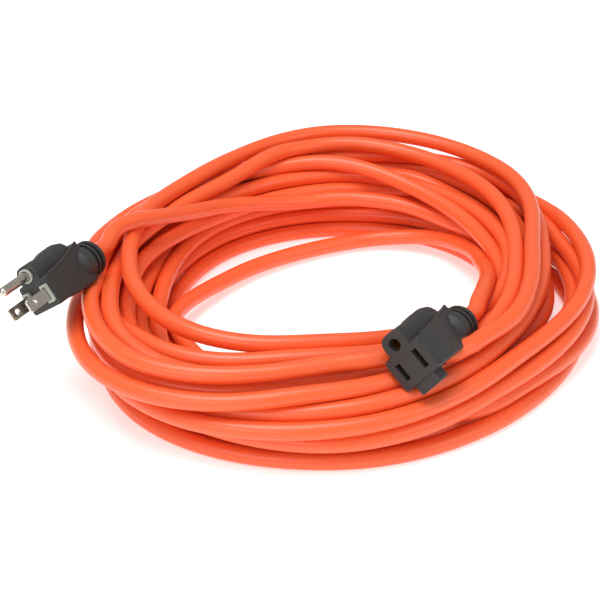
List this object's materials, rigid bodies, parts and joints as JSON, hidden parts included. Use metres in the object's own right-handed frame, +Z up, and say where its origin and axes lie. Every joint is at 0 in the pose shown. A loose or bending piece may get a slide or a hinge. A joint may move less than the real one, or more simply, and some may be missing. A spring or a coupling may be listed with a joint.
{
  "type": "extension cord",
  "caption": "Coiled round orange extension cord with a moulded grounded plug and a matching grounded connector.",
  "frame": {"origin": "on the floor under the middle of the whole object's bounding box", "axes": "+Z up from the floor the coil lies on; the plug hangs over the rim on the -X side and the connector lies on top towards -Y"},
  "size_m": [0.2988, 0.284, 0.0741],
  "materials": {
    "orange_jacket": "semi-gloss extruded vinyl",
    "black_vinyl": "satin moulded vinyl",
    "grey_nylon": "satin moulded nylon",
    "nickel": "nickel plated, softly polished",
    "brass": "plain stamped",
    "copper": "bare stranded copper",
    "black_wire": "satin extruded vinyl",
    "white_wire": "satin extruded vinyl",
    "green_wire": "satin extruded vinyl"
  },
  "bodies": {
    "root": {"plug_body": "black_vinyl", "plug_bridge": "grey_nylon", "plug_line_blade": "nickel", "plug_neutral_blade": "nickel", "plug_ground_pin": "nickel", "connector_body": "black_vinyl", "connector_carrier": "grey_nylon", "plug_line_strands": "copper", "plug_line_wire": "black_wire", "plug_neutral_strands": "copper", "plug_neutral_wire": "white_wire", "plug_ground_strands": "copper", "plug_ground_wire": "green_wire", "connector_line_contact": "brass", "connector_line_strands": "copper", "connector_line_wire": "black_wire", "connector_neutral_contact": "brass", "connector_neutral_strands": "copper", "connector_neutral_wire": "white_wire", "connector_ground_contact": "brass", "connector_ground_strands": "copper", "connector_ground_wire": "green_wire", "cord_coil": "orange_jacket", "plug_tail": "orange_jacket", "connector_tail": "orange_jacket"}
  },
  "joints": []
}
